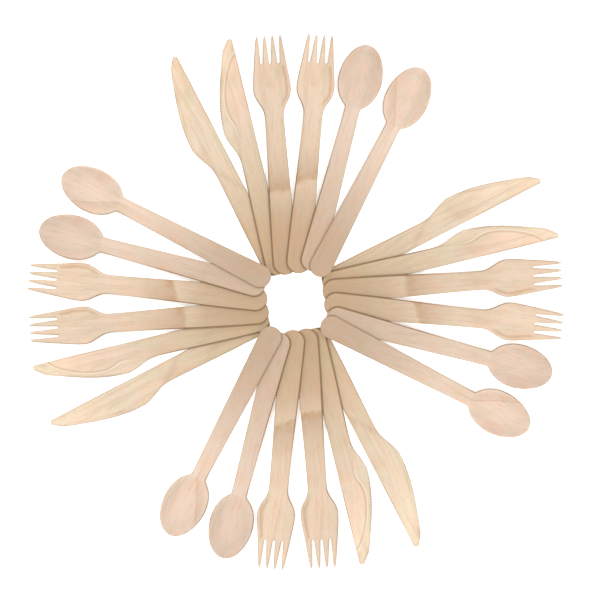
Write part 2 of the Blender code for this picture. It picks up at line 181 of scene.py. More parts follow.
class WoodColours(bpy.types.PropertyGroup):
    """Bare pressed birch, darker and warmer toward the handle ends, where the shade of the crowded hub is
    painted in.
    """
    knife_pale: colour("Knife, Pale", "Blade of a knife", (0.565, 0.46, 0.35))
    knife_deep: colour("Knife, Deep", "Handle end of a knife", (0.325, 0.231, 0.131))
    fork_pale: colour("Fork, Pale", "Head of a fork", (0.58, 0.45, 0.342))
    fork_deep: colour("Fork, Deep", "Handle end of a fork", (0.285, 0.193, 0.108))
    spoon_pale: colour("Spoon, Pale", "Bowl of a spoon", (0.54, 0.42, 0.338))
    spoon_deep: colour("Spoon, Deep", "Handle end of a spoon", (0.315, 0.224, 0.153))
    fibre: colour("Fibre", "Late wood between the fibres", (0.21, 0.125, 0.06))
    # Also the colour of painted shadow along the pieces' left edges and of painted shade down the upper
    # spoons.
    stain_and_painted_shade: colour("Stain", "Brown marks and pressed shadows", (0.175, 0.085, 0.028))
    # Also the colour of painted shade beside a knife's bevel line, on a fork's curled-up right side and down
    # the upper spoons.
    scorch_and_painted_shade: colour("Scorch", "Warm marks left by the hot press", (0.355, 0.185, 0.07))
    cut: colour("Cut Side", "Sides where the veneer is cut", (0.28, 0.165, 0.07))
    # Also the colour of a painted highlight along the crest of a knife's bevel line.
    fresh_wood_and_highlight: colour("Fresh Wood", "Paler wood where the blade is bevelled", (0.78, 0.65, 0.50))


class StageSizes(bpy.types.PropertyGroup):
    """Table, light and camera."""
    floor: colour("Floor", "Colour of the plain floor", (0.93, 0.93, 0.93))
    floor_size: length("Floor Size", "Side of the floor", 6.0)
    glow: amount("Glow", "Light that the table itself gives", 0.42)
    sky: amount("Sky", "Strength of the even light from all round", 1.0)
    lamp: amount("Lamp", "Power of each fan's lamp", 15.0, 'POWER')
    lamp_radius: length("Lamp Radius", "Radius of each lamp's soft disc", 0.045)
    lamp_beam: angle("Lamp Beam", "Width of each lamp's beam", 23)
    lamp_fade: share("Lamp Fade", "Share of the beam over which it fades", 0.6)
    lens: amount("Lens", "Focal length in millimetres", 150.0)
    frame_width: length("Frame Width", "Width that the camera sees on the table", 0.4071)
    aim_x: length("Aim X", "Where the camera looks, across", 0.0029)
    aim_y: length("Aim Y", "Where the camera looks, along", 0.0011)
    camera_turn: angle("Camera Turn", "Turn of the camera about its own axis", -0.59)


def set_up(item, **settings):
    """Set several properties of a Blender item, and return it."""
    for name, setting in settings.items():
        setattr(item, name, setting)
    return item


# Node trees written as Python expressions

class Term:
    """A socket of a node tree that can be used as a number in an expression."""

    def __init__(self, board, socket):
        self.board = board
        self.socket = socket

    def math(self, operation, *others):
        values = dict(enumerate((self, *others)))
        return self.board.node("ShaderNodeMath", {"operation": operation}, values)

    __add__ = __radd__ = partialmethod(math, 'ADD')
    __sub__ = partialmethod(math, 'SUBTRACT')
    __rsub__ = partialmethod(math, 'MULTIPLY_ADD', -1.0)
    __mul__ = partialmethod(math, 'MULTIPLY')
    __truediv__ = partialmethod(math, 'DIVIDE')
    __pow__ = partialmethod(math, 'POWER')
    least = partialmethod(math, 'MINIMUM')
    most = partialmethod(math, 'MAXIMUM')
    size = partialmethod(math, 'ABSOLUTE')
    root = partialmethod(math, 'SQRT')
    sine = partialmethod(math, 'SINE')
    to_and_fro = partialmethod(math, 'PINGPONG')
    above = partialmethod(math, 'GREATER_THAN')

    def step(self, low, high):
        """0 below low and 1 above high, with a soft step between them; low may be the larger."""
        settings = {"interpolation_type": 'SMOOTHSTEP', "clamp": True}
        if low > high:
            return 1 - self.step(high, low)
        values = {"Value": self, "From Min": low, "From Max": high, "To Min": 0.0, "To Max": 1.0}
        return self.board.node("ShaderNodeMapRange", settings, values)

    def near(self, place, width):
        """1 at a place and falling softly to 0 at a width from it."""
        return (self - place).size().step(width, 0.0)


class Board:
    """A node tree under construction."""

    def __init__(self, tree):
        self.tree = tree

    def node(self, kind, settings=None, values=None, out=0):
        """Add a node, set it up, fill or link its sockets, and return one output."""
        node = set_up(self.tree.nodes.new(kind), **(settings or {}))
        self.fill(node, values or {})
        return Term(self, node.outputs[out])

    def fill(self, node, values):
        for name, value in values.items():
            socket = node.inputs[name]
            if isinstance(value, Term):
                self.tree.links.new(value.socket, socket)
            elif socket.type == 'RGBA':
                socket.default_value = (*value[:3], 1.0)
            else:
                socket.default_value = value

    def parts(self, vector):
        """The three numbers of a vector."""
        split = self.node("ShaderNodeSeparateXYZ", None, {0: vector})
        return [Term(self, split.socket.node.outputs[k]) for k in range(3)]

    def vector(self, x, y, z):
        return self.node("ShaderNodeCombineXYZ", None, {0: x, 1: y, 2: z})

    def noise(self, vector, detail=2.0, roughness=0.5):
        values = {"Vector": vector, "Scale": 1.0, "Detail": detail, "Roughness": roughness}
        return self.node("ShaderNodeTexNoise", {"noise_dimensions": '3D'}, values)

    def mix(self, factor, first, second, blend='MIX'):
        """One colour into another."""
        settings = {"data_type": 'RGBA', "blend_type": blend}
        return self.node("ShaderNodeMix", settings, {0: factor, 6: first, 7: second}, out=2)

    def tinted(self, base, tint):
        """A colour multiplied by another."""
        return self.mix(1.0, base, tint, 'MULTIPLY')

    def layers(self, base, *layers):
        """A colour with others laid over it in turn, each through its mask."""
        for mask, tint in layers:
            base = self.mix(mask, base, tint)
        return base


# Outlines

def arc(centre, radius, start, end, step):
    """Points on an arc from one angle to another, in degrees."""
    steps = max(2, round(abs(end - start) / step))
    turns = [math.radians(start + (end - start) * k / steps) for k in range(steps + 1)]
    return [Vector(centre) + radius * Vector((math.cos(turn), math.sin(turn))) for turn in turns]


def curve(start, lean_start, lean_end, end, count=24):
    """Points on a free curve, its ends leaning toward two guide points."""
    guides = [Vector(point).to_3d() for point in (start, lean_start, lean_end, end)]
    return [point.to_2d() for point in interpolate_bezier(*guides, count)]


def line(start, end, step=0.003):
    """Points from one place up to, but not including, another."""
    count = max(1, round((Vector(end) - Vector(start)).length / step))
    return [Vector(start).lerp(Vector(end), k / count) for k in range(count)]


def handle_end(radius):
    return arc((0, 0), radius, 180, 360, 5)


def mirrored(points):
    return [Vector((-point.x, point.y)) for point in reversed(points)]


def left_of(direction):
    return Vector((-direction.y, direction.x))


def stations(points, step):
    """Points at equal steps along a path, with the direction of the path at each."""
    found = []
    wanted = passed = 0.0
    for start, end in zip(points, points[1:]):
        run = (end - start).length
        while wanted <= passed + run:
            found.append((start.lerp(end, (wanted - passed) / run), (end - start).normalized()))
            wanted += step
        passed += run
    return found


def knife_parts(size):
    """The knife's outline, anticlockwise: handle end and spine, tip, cutting edge, heel, and handle.

    The last part is where a wide bevel starts on the spine.
    """
    radius = size.end_radius
    tip = size.full_length - radius
    heel = tip - size.blade_length
    waist = size.waist_from_end - radius
    tip_centre = Vector((radius - size.tip_radius, tip - size.tip_radius))
    point_start = Vector((radius - size.point_width, tip - size.point_length))
    heel_left = Vector((radius - size.blade_width, heel))
    waist_left = Vector((radius - size.waist_width, waist))
    belly = size.blade_length * size.edge_belly
    run_out = Vector((math.cos(size.run_out), math.sin(size.run_out))) * belly
    edge = curve(point_start, point_start - run_out, heel_left + Vector((0, belly)), heel_left, 60)
    sweep_start = heel_left + Vector((size.heel_radius / 4, -size.heel_radius))
    sweep_lean = sweep_start.lerp(waist_left, 0.5)
    sweep = curve(sweep_start, sweep_lean, waist_left + Vector((0, size.heel_sweep)), waist_left)
    hip_end = Vector((-radius, waist / 4))
    reach = Vector((0, waist / 4))
    hip = curve(waist_left, waist_left - reach, hip_end + reach, hip_end)
    wide = Vector((radius, tip - size.wide_from_tip))
    end = handle_end(radius)[:-1] + line((radius, 0), wide)
    end += line(wide, tip_centre + Vector((size.tip_radius, 0)))
    tip_arc = arc(tip_centre, size.tip_radius, 0, 150, 10)
    return end, tip_arc, edge, sweep, hip + line(hip_end, (-radius, 0))[1:], wide


def narrow_bevel_line(size, tip_arc, edge, sweep):
    """The line where a narrow bevel begins, from the tip, inside the edge, to the waist."""
    path = tip_arc[-1:] + edge + sweep[1:]
    total = sum((b - a).length for a, b in zip(path, path[1:]))
    count = 60
    points = tip_arc[-1:]
    for number, (point, direction) in enumerate(stations(path, total / count)[1:count], 1):
        along = number / count
        fade = min(1, along / size.bevel_fade, (1 - along) / size.bevel_fade)
        points.append(point + left_of(direction) * size.narrow_bevel * fade)
    return points + sweep[-1:]


def wide_bevel_line(size, start, edge, sweep):
    """The line where a wide bevel begins: from the spine along the edge, and across the heel to the waist."""
    belly_y = size.full_length - size.end_radius - size.wide_belly
    belly_edge = min(edge, key=lambda point: abs(point.y - belly_y))
    belly = Vector((belly_edge.x + size.wide_bevel, belly_y))
    heel = edge[-1] + Vector((size.heel_bevel, 0))
    reach = Vector((0, (start.y - belly_y) / 3))
    across = Vector(((start.x + belly.x) / 2, start.y - reach.y / 3))
    upper = curve(start, across, belly + reach, belly, 36)
    lower = curve(belly, belly - reach * 0.7, heel + Vector((0, reach.y * 0.6)), heel, 18)
    waist = sweep[-1]
    out = curve(heel, heel - Vector((0, reach.y * 0.5)), waist + Vector((0, reach.y * 0.5)), waist, 24)
    return [start] + upper[1:] + lower[1:] + out[1:-1] + [waist]


def step_line(size, crease, outline):
    """The foot of the pressed step, on the bevel's side of its line."""
    shape = closed_path(outline)
    points = []
    for point, direction in stations(crease, 2 * size.step_width):
        foot = point - left_of(direction) * size.step_width
        if distances(as_array([foot]), shape)[0] > size.step_width:
            points.append(foot)
    return points


def fork_side(size):
    """The right side of the fork from the handle end to the roots of the tines."""
    radius = size.end_radius
    tip = size.full_length - radius
    neck = Vector((size.neck_width / 2, tip - size.head_length))
    widest = Vector((size.head_width / 2, neck.y + size.shoulder_length))
    root = Vector((size.roots_width / 2, tip - size.tine_length))
    lean = Vector((0, size.shoulder_length * 0.42))
    handle = curve((radius, 0), (radius, neck.y * 0.4), (neck.x, neck.y * 0.7), neck, 40)
    shoulder = curve(neck, neck + lean, widest - lean, widest)
    cheek_lean = widest.lerp(root, 0.35) + Vector((widest.x - root.x, 0)) / 3
    cheek = curve(widest, cheek_lean, root.lerp(widest, 0.3), root, 12)
    return handle[1:] + shoulder[1:] + cheek[1:]


def fork_tines(size):
    """The tines' outline from the right root to the left one."""
    tip = size.full_length - size.end_radius
    root = tip - size.tine_length
    last = size.tines - 1
    gap = (size.roots_width - size.tines * size.root_width) / last
    half_foot = Vector((size.root_width / 2, 0))
    half_top = Vector((size.tip_width / 2, 0))
    points = []
    for number in range(size.tines):
        aside = 0.5 - number / last
        foot = Vector((aside * (size.roots_width - size.root_width), root))
        top = Vector((aside * (size.tips_width - size.tip_width), tip))
        below = top.lerp(foot, size.point_length / size.tine_length)
        shoulder = half_top * size.shoulder_share
        middle = foot.lerp(below, 0.5)
        half_middle = half_top.lerp(half_foot, size.fullness)
        end = half_top * size.bluntness
        right, left = ([*line(foot + side * half_foot, middle + side * half_middle, TINE_STEP),
                        *line(middle + side * half_middle, below + side * shoulder, TINE_STEP),
                        below + side * shoulder, below.lerp(top, 0.5) + side * (shoulder + end) * 0.56,
                        top + side * end] for side in (1, -1))
        points += right[1:] + left[:0:-1]
        if number < last:
            points += arc(foot - half_foot - Vector((gap / 2, 0)), gap / 2, 360, 180, 20)
    return points


def bowl_place(size):
    """Middle of the bowl up the spoon, and the bowl's half width and half length."""
    half_length = size.bowl_length / 2
    return size.full_length - size.end_radius - half_length, size.bowl_width / 2, half_length


def spoon_half_width(size, y):
    middle, half_width, half_length = bowl_place(size)
    taper = min(max(y / (middle - half_length), 0), 1)
    handle = size.end_radius + (size.neck_width / 2 - size.end_radius) * taper
    up = (y - middle) / half_length
    bowl = half_width * math.sqrt(max(1 - up * up, 0)) * (1 - size.fullness * up)
    if up > 0:
        return bowl
    blend = size.neck_blend * min(1, -up) * min(max((up + 1.3) * 4, 0), 1)
    return (handle + bowl + math.sqrt((handle - bowl) ** 2 + blend ** 2)) / 2


def spoon_outline(size):
    middle, half_width, half_length = bowl_place(size)
    neck_start = middle - 1.3 * half_length
    ups = [point.y for point in line((0, 0), (0, neck_start))][1:]
    ups += [neck_start + (middle - 0.7 * half_length - neck_start) * k / 26 for k in range(26)]
    low = math.degrees(math.asin(-0.7))
    ups += [middle + half_length * math.sin(math.radians(low + (90 - low) * k / 44)) for k in range(44)]
    side = [Vector((spoon_half_width(size, y), y)) for y in ups]
    return handle_end(size.end_radius) + side + [Vector((0, middle + half_length))] + mirrored(side)


# Sheets of veneer

def as_array(points):
    return np.array([tuple(point) for point in points])


def closed_path(outline):
    return as_array([*outline, outline[0]])


def units(vectors):
    return vectors / np.maximum(np.linalg.norm(vectors, axis=1), 1e-12)[:, None]


def read(items, field, kind=float):
    """The three numbers that a field of each item of a mesh holds."""
    values = np.empty(len(items) * 3, dtype=kind)
    items.foreach_get(field, values)
    return values.reshape(-1, 3)


def store(mesh, name, values, domain='POINT'):
    """Keep a number or a vector for each point or face of a mesh."""
    kind, field = (('FLOAT', "value"), ('FLOAT_VECTOR', "vector"))[values.ndim - 1]
    mesh.attributes.new(name, kind, domain).data.foreach_set(field, values.astype(np.float32).ravel())


def add_object(name, data):
    item = bpy.data.objects.new(name, data)
    bpy.context.scene.collection.objects.link(item)
    return item


def distances(points, path):
    """Distance of each point from a path, as numpy arrays."""
    start, end = path[:-1], path[1:]
    along = end - start
    reach = points[:, None] - start[None]
    where = np.clip((reach * along).sum(2) / np.maximum((along ** 2).sum(1), 1e-18), 0, 1)
    return np.linalg.norm(reach - where[..., None] * along, axis=2).min(1)


def inside(points, outline):
    """Which points lie within a closed outline."""
    first, second = outline, np.roll(outline, -1, axis=0)
    x, y = points[:, :1], points[:, 1:]
    crosses = (first[:, 1] > y) != (second[:, 1] > y)
    rise = np.where(first[:, 1] == second[:, 1], 1, second[:, 1] - first[:, 1])
    at = first[:, 0] + (y - first[:, 1]) / rise * (second[:, 0] - first[:, 0])
    return (crosses & (x < at)).sum(1) % 2 == 1


def rim_points(veneer, outline):
    """A ring of points inside an outline, where it is wide enough to hold one."""
    shape = as_array(outline)
    along = units(np.roll(shape, -1, axis=0) - np.roll(shape, 1, axis=0))
    ring = shape + veneer.rim * np.column_stack([-along[:, 1], along[:, 0]])
    ring = ring[inside(ring, shape)]
    return ring[distances(ring, closed_path(outline)) > NEARLY * veneer.rim]


def surface_points(veneer, outline, flat_until, crease=()):
    """Points spread over a blank: wide apart on the handle, close on the head, none on a bevel."""
    shape, closed = as_array(outline), closed_path(outline)
    low, high = shape.min(0), shape.max(0)
    found = [rim_points(veneer, outline)]
    for step, bottom, top in ((veneer.handle_grid, low[1], flat_until), (veneer.grid, flat_until, high[1])):
        for number, y in enumerate(np.arange(bottom + step / 2, top, step * ROW_HEIGHT)):
            row = np.arange(low[0] + step / 2 * (number % 2), high[0], step)
            points = np.column_stack([row, np.full(len(row), y)])
            points = points[inside(points, shape)]
            found.append(points[distances(points, closed) > veneer.rim + ROOM * step])
    points = np.vstack([some for some in found if len(some)])
    if crease:
        points = points[~inside(points, as_array(bevel_zone(outline, crease)))]
        points = points[distances(points, as_array(crease)) > veneer.rim]
    gaps = np.linalg.norm(points[:, None] - points[None], axis=2)
    crowded = np.triu(gaps < CROWDED * veneer.rim, 1).any(0)
    return [Vector(point) for point in points[~crowded]]


def blank(name, outline, inner, crease=(), step=(), thin=(), step_share=1.0, edge=()):
    """A flat sheet cut to an outline.

    Its group "full" says how much of the veneer's thickness each point keeps. Along a cutting
    edge it also knows how far along the edge each point lies, and which way is into the blade.
    """
    points = [point / MM for point in [*outline, *inner, *crease, *step]]
    count = len(outline)
    edges = [(k, (k + 1) % count) for k in range(count)]
    first = count + len(inner)
    edges += [(first + k, first + k + 1) for k in range(len(crease) - 1)]
    step_first = first + len(crease)
    flat, _, faces, origins, _, _ = delaunay_2d_cdt(points, edges, [], 1, SAME_POINT)
    mesh = bpy.data.meshes.new(name)
    mesh.from_pydata([(p.x * MM, p.y * MM, 0) for p in flat], [], faces)
    sheet = add_object(name, mesh)
    full = sheet.vertex_groups.new(name="full")
    runs = np.full(len(flat), OFF_EDGE)
    inward = np.zeros((len(flat), 3))
    for k, sources in enumerate(origins):
        if max(sources, default=0) >= step_first:
            full.add([k], step_share, 'REPLACE')
        elif not any(source in thin for source in sources):
            full.add([k], 1.0, 'REPLACE')
        for source in sources:
            if source in edge:
                runs[k], inward[k, :2] = edge[source]
    store(mesh, "edge_run", runs)
    store(mesh, "inward", inward)
    return sheet


def press(sheet, tree_name, inputs, form, material):
    """Press a sheet in Geometry Nodes: form moves each place by the named inputs."""
    tree = bpy.data.node_groups.new(tree_name, 'GeometryNodeTree')
    board = Board(tree)
    for way in ('INPUT', 'OUTPUT'):
        tree.interface.new_socket("Geometry", in_out=way, socket_type='NodeSocketGeometry')
    tree.interface.new_socket("Material", in_out='INPUT', socket_type='NodeSocketMaterial')
    for name, value in inputs.items():
        socket = tree.interface.new_socket(name, in_out='INPUT', socket_type='NodeSocketFloat')
        socket.default_value = value
    start = tree.nodes.new('NodeGroupInput')
    terms = {socket.name: Term(board, socket) for socket in start.outputs if socket.name}
    x, y, _ = board.parts(board.node('GeometryNodeInputPosition'))
    warp = board.vector(0.0, 0.0, spring_back(board, x, y, terms))
    offset = board.node('ShaderNodeVectorMath', {"operation": 'ADD'}, {0: form(board, x, y, terms), 1: warp})
    moved = board.node('GeometryNodeSetPosition', None, {"Geometry": terms["Geometry"], "Offset": offset})
    real = board.node('GeometryNodeRealizeInstances', None, {"Geometry": moved})
    done = board.node('GeometryNodeSetMaterial', None, {"Geometry": real, "Material": terms["Material"]})
    end = tree.nodes.new('NodeGroupOutput')
    tree.links.new(done.socket, end.inputs["Geometry"])
    modifier = sheet.modifiers.new(tree_name, 'NODES')
    modifier.node_group = tree
    given = {**inputs, "Material": material}
    for item in tree.interface.items_tree:
        if item.in_out == 'INPUT' and item.name in given:
            modifier[item.identifier] = given[item.name]


def spring_back(board, x, y, terms):
    """The slight warp that pressed veneer keeps, always upward."""
    place = board.vector(x / terms["Warp Span"], y / terms["Warp Span"], 0.0)
    return board.noise(place, 0.0) * terms["Warp"]


def knife_press(board, x, y, terms):
    """Cut the teeth: every second half pitch of the edge lies deeper in the blade."""
    run, inward = (board.node('GeometryNodeInputNamedAttribute', {"data_type": kind}, {"Name": name})
                   for kind, name in (('FLOAT', "edge_run"), ('FLOAT_VECTOR', "inward")))
    on_edge = run.above(OFF_EDGE / 2) * (1 - run.above(terms["Teeth Length"]))
    half = terms["Tooth Pitch"] / 2
    depth = run.to_and_fro(half) / half * terms["Tooth Depth"] * on_edge
    return board.node('ShaderNodeVectorMath', {"operation": 'SCALE'}, {0: inward, "Scale": depth})


def fork_press(board, x, y, terms):
    """The head dips below the handle, its tips rise again, and its sides curl up."""
    along = (y - terms["Drop Start"]) / terms["Drop Run"]
    dip = (along.most(0.0).least(1.0) * math.pi).sine() ** 2.0
    side = (x / terms["Half Width"]) ** 2.0
    lift = side * terms["Side Rise"] - terms["Drop"]
    return board.vector(0.0, 0.0, lift * dip)


def spoon_press(board, x, y, terms):
    """The bowl lies below the handle, with a flat bottom and a soft lip."""
    across = (x / terms["Half Width"]) ** 2.0
    along = ((y - terms["Middle"]) / terms["Half Length"]) ** 2.0
    out = (across + along).root().least(1.0)
    dish = (1 - out ** terms["Flatness"]).most(0.0) ** terms["Lip"]
    return board.vector(0.0, 0.0, 0 - dish * terms["Depth"])


def note_edges(mesh, outline, crease):
    """Store at each point, in millimetres, how far inside the outline and into the bevel it lies.

    The second number says how much the nearest side faces left, from -1 to 1.
    """
    flat = read(mesh.vertices, "co")[:, :2]
    closed = closed_path(outline)
    way = np.diff(closed, axis=0)
    middle = closed[:-1] + way / 2
    run = np.linalg.norm(way, axis=1)
    nearest = (np.linalg.norm(flat[:, None] - middle[None], axis=2) - run / 2).argmin(1)
    notes = np.full((len(flat), 3), NO_BEVEL)
    notes[:, 0] = np.where(inside(flat, closed[:-1]), distances(flat, closed), 0) / MM
    notes[:, 1] = -units(way)[nearest, 1]
    if crease:
        off = distances(flat, as_array(crease)) / MM
        on_edge = (notes[:, 0] < 0.02) & (flat[:, 0] < 0)
        notes[:, 2] = np.where(inside(flat, as_array(bevel_zone(outline, crease))) | on_edge, off, -off)
    store(mesh, "edge", notes)


def bevel_zone(outline, crease):
    """The closed path round a bevel, along the outline and back along its line."""
    first, last = (min(range(len(outline)), key=lambda k: (outline[k] - end).length)
                   for end in (crease[0], crease[-1]))
    return outline[first:last + 1] + list(crease)[::-1]


def finish_sheet(sheet, veneer, outline, crease=(), thin_share=1.0):
    """Give a pressed sheet its thickness and tumbled edges, and return it as a plain mesh."""
    set_up(sheet.modifiers.new("thickness", 'SOLIDIFY'), thickness=veneer.thickness, offset=1,
           use_even_offset=True, vertex_group="full", thickness_vertex_group=thin_share)
    set_up(sheet.modifiers.new("edges", 'BEVEL'), width=veneer.rounding, segments=veneer.rounding_steps,
           limit_method='ANGLE', angle_limit=SHARP_EDGE, use_clamp_overlap=False)
    set_up(sheet.modifiers.new("normals", 'WEIGHTED_NORMAL'), keep_sharp=True)
    sheet.data.shade_smooth()
    graph = bpy.context.evaluated_depsgraph_get()
    mesh = bpy.data.meshes.new_from_object(sheet.evaluated_get(graph), preserve_all_data_layers=True,
                                           depsgraph=graph)
    bpy.data.objects.remove(sheet)
    note_edges(mesh, outline, crease)
    return mesh


# Places, read from the frame

def node_shape(node):
    """Corners and triangles of a CAD node."""
    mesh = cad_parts[node].data
    mesh.calc_loop_triangles()
    corners, number = np.unique(np.round(read(mesh.vertices, "co"), 7), axis=0, return_inverse=True)
    return corners, number.ravel()[read(mesh.loop_triangles, "vertices", int)]


def seat_of(node, end_radius, straight_spine):
    """Where a CAD piece lies: x across it, y from its handle end to its head, z out of its flat side.

    The flat underside gives z. A knife's spine, the longest side of that underside, gives y, and
    on a fork or a spoon the line that they are symmetrical about does.
    """
    corners, triangles = node_shape(node)
    a, b, c = (corners[triangles[:, k]] for k in range(3))
    normal = np.cross(b - a, c - a)
    area = np.linalg.norm(normal, axis=1)
    normal = units(normal)
    alike = normal @ normal.T > math.cos(math.radians(0.5))
    votes = (alike * area).sum(1) * (normal[:, 2] < -0.9)
    flat = alike[votes.argmax()]
    up = -(normal[flat] * area[flat, None]).sum(0)
    up /= np.linalg.norm(up)
    level = (a[flat] @ up).mean()
    if straight_spine:
        sides = np.sort(np.vstack([triangles[flat][:, pair] for pair in ([0, 1], [1, 2], [2, 0])]), axis=1)
        pairs, counts = np.unique(sides, axis=0, return_counts=True)
        border = pairs[counts == 1]
        runs = corners[border[:, 1]] - corners[border[:, 0]]
        along = runs[np.linalg.norm(runs, axis=1).argmax()]
    else:
        level_corners = corners - np.outer(corners @ up, up)
        along = np.linalg.svd(level_corners - level_corners.mean(0))[2][0]
    along = along - up * (along @ up)
    along /= np.linalg.norm(along)
    along *= math.copysign(1, along @ corners.mean(0))
    across = np.cross(along, up)
    x, y = corners @ across, corners @ along
    left = x.max() - end_radius if straight_spine else x.mean()
    origin = left * across + (y.min() + end_radius) * along + level * up
    seat = Matrix.Identity(4)
    for k, axis in enumerate((across, along, up, origin)):
        for row in range(3):
            seat[row][k] = axis[row]
    return seat


def set_down(node, shape, seat, slice_depth):
    """A finished piece in the place of its CAD node, carrying its own frame for the grain."""
    mesh = shape.copy()
    mesh.name = node
    store(mesh, "place", read(mesh.vertices, "co") + (0, 0, slice_depth))
    store(mesh, "cut_side", np.abs(read(mesh.polygons, "normal")[:, 2]) < 0.5, 'FACE')
    mesh.transform(seat)
    piece = add_object("birch_" + node, mesh)
    low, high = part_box(node)
    corners = read(mesh.vertices, "co")
    off = max(np.abs(corners.min(0) - low).max(), np.abs(corners.max(0) - high).max())
    if off > BOX_TOLERANCE:
        raise RuntimeError("%s lies %.2f mm off its CAD node" % (node, off / MM))
    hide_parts(node)
    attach(piece, "root")
    return piece


# Birch

def birch(layer, pale, deep, wood, hub_shaded, figured, paled=0.0, edge_shadowed=1.0, bevelled=0.0, marks=None):
    """Bare pressed birch veneer, measured in millimetres from the middle of the handle's round end.

    The shares say how much it is darkened at the handle's end with painted shade of the crowded hub, paled at
    the head, figured, darkened along the handle's left side with painted shadow, and marked along its bevel.
    """
    material = bpy.data.materials.new("birch " + layer.replace("_", " "))
    material.use_nodes = True
    tree = material.node_tree
    tree.nodes.clear()
    board = Board(tree)
    place, notes, cut = (board.node("ShaderNodeAttribute", {"attribute_name": name}, out=out)
                         for name, out in (("place", 1), ("edge", 1), ("cut_side", 2)))
    in_mm = board.node("ShaderNodeVectorMath", {"operation": 'SCALE'}, {0: place, "Scale": 1 / MM})
    x, y, z = board.parts(in_mm)
    from_edge, left, in_bevel = board.parts(notes)

    def pattern(over, across_scale, along_scale, slice_scale, detail=2.0, roughness=0.5):
        """Noise drawn out along the grain."""
        spot = board.vector(over * across_scale, y * along_scale, z * slice_scale)
        return board.noise(spot, detail, roughness)

    across = x + (pattern(x, 0.09, 0.018, 0.05, 1.0) - 0.5) * 9.0
    figure = pattern(across, 0.32, 0.011, 0.2, 2.0, 0.6)
    bands = pattern(across, 0.95, 0.03, 0.25, 2.0, 0.6)
    fibres = pattern(across, 2.3, 0.05, 0.3, 3.0, 0.62)
    threads = pattern(across, 7.0, 0.11, 0.6, 2.0, 0.6)
    pores = pattern(across, 9.0, 0.45, 0.8, 1.0).step(0.66, 0.74)
    clouds = pattern(x, 0.06, 0.035, 0.1)
    flecks = pattern(x, 0.55, 0.16, 0.3)
    tints = board.noise(board.vector(x * 0.42, y * 0.2, z * 0.3 + 9.0))
    warmth = board.noise(board.vector(x * 0.13 + 40.0, y * 0.05, z * 0.2))
    # Darker toward the handle's end: painted shade of the crowded hub, where the pieces overlap.
    base = board.mix(y.step(120.0, -8.0) * hub_shaded, pale, deep)
    base = board.mix(y.step(100.0, 155.0) * paled, base, wood.fresh_wood_and_highlight)
    warm = board.tinted(base, WARM)
    cool = board.tinted(base, COOL)
    base = board.layers(
        base,
        (y.step(90.0, 150.0) * paled * 0.7, warm),
        (warmth.step(0.46, 0.70) * 0.60, warm),
        (warmth.step(0.50, 0.32) * 0.60, cool),
        (tints.step(0.48, 0.74) * 0.36, warm),
        (tints.step(0.52, 0.28) * 0.36, cool),
        (figure.step(0.42, 0.70) * 0.135 * figured, wood.fibre),
        (clouds.step(0.48, 0.78) * 0.20 * figured, wood.scorch_and_painted_shade),
        (bands.step(0.50, 0.72) * 0.11, wood.fibre),
        (flecks.step(0.54, 0.74) * 0.11, wood.fibre),
        (fibres.step(0.50, 0.74) * 0.19, wood.fibre),
        (threads.step(0.50, 0.78) * 0.15, wood.fibre),
        (pores * 0.30, wood.stain_and_painted_shade))
    if marks:
        base = board.layers(base, *marks(board, x, y, z, from_edge, left, wood))
    if bevelled:
        base = bevel_marks(board, base, bevelled, y, from_edge, left, in_bevel, wood)
    # Painted shadow along the left edges: the contact shadow each handle casts on the piece below, and the
    # shadow on the table at the neck's left shoulder; the rim is also a little darker along both sides.
    handle_edge_shadow = left.step(0.1, 0.6) * y.step(80.0, 50.0) * 0.85 * edge_shadowed
    shoulder = left.step(0.4, 0.9) * y.near(106.0, 14.0) * 0.5
    sides = left.step(0.1, 0.7) * 0.20 + left.step(-0.3, -0.8) * 0.18
    rim = from_edge.step(1.0, 0.3) * (handle_edge_shadow + shoulder + sides).least(0.95)
    # Cut sides take their darker brown, more so on pieces with painted edge shadow, deepening it.
    base = board.layers(base, (rim, wood.stain_and_painted_shade), (cut * (0.35 + 0.4 * edge_shadowed), wood.cut))
    relief = fibres * 0.5 + threads * 0.35 - pores * 0.5
    bump = board.node("ShaderNodeBump", None, {"Strength": 0.35, "Distance": 0.00012, "Height": relief})
    shader = board.node("ShaderNodeBsdfPrincipled", None, {
        "Base Color": base, "Roughness": 0.56 + fibres * 0.16 + cut * 0.1, "Normal": bump,
        "Metallic": 0.0, "IOR": 1.45})
    end = tree.nodes.new("ShaderNodeOutputMaterial")
    tree.links.new(shader.socket, end.inputs["Surface"])
    return material


def bevel_marks(board, base, bevelled, y, from_edge, left, in_bevel, wood):
    """Pale wood on a bevel, a painted highlight along its crest, painted shade and rosy wood beside it, dark
    teeth and spine.
    """
    base = board.mix(in_bevel.step(0.0, 0.5) * 0.10 * bevelled, base, wood.fresh_wood_and_highlight)
    pressed = y.step(84.0, 102.0) * bevelled
    half_pitch = 0.85
    teeth = (y.to_and_fro(half_pitch) / half_pitch).step(0.4, 0.8)
    teeth = teeth * y.step(93.0, 110.0) * y.step(144.0, 127.0)
    spine = from_edge.step(0.9, 0.2) * left.step(-0.3, -0.8) * y.step(100.0, 112.0) * y.step(144.0, 132.0)
    return board.layers(
        base,
        (in_bevel.step(-0.4, -2.4) * pressed * bevelled * 0.9, board.tinted(base, ROSY)),
        # Painted highlight along the crest of the bevel's line.
        (in_bevel.near(0.6, 0.55) * 0.60 * pressed, wood.fresh_wood_and_highlight),
        # Painted shade just beyond that line, on its raised side.
        (in_bevel.near(-0.5, 0.9) * 0.36 * pressed, wood.scorch_and_painted_shade),
        (teeth * from_edge.step(1.9, 0.6) * left.step(0.3, 0.8) * 0.70 * pressed, wood.stain_and_painted_shade),
        (spine * 0.35, wood.stain_and_painted_shade))


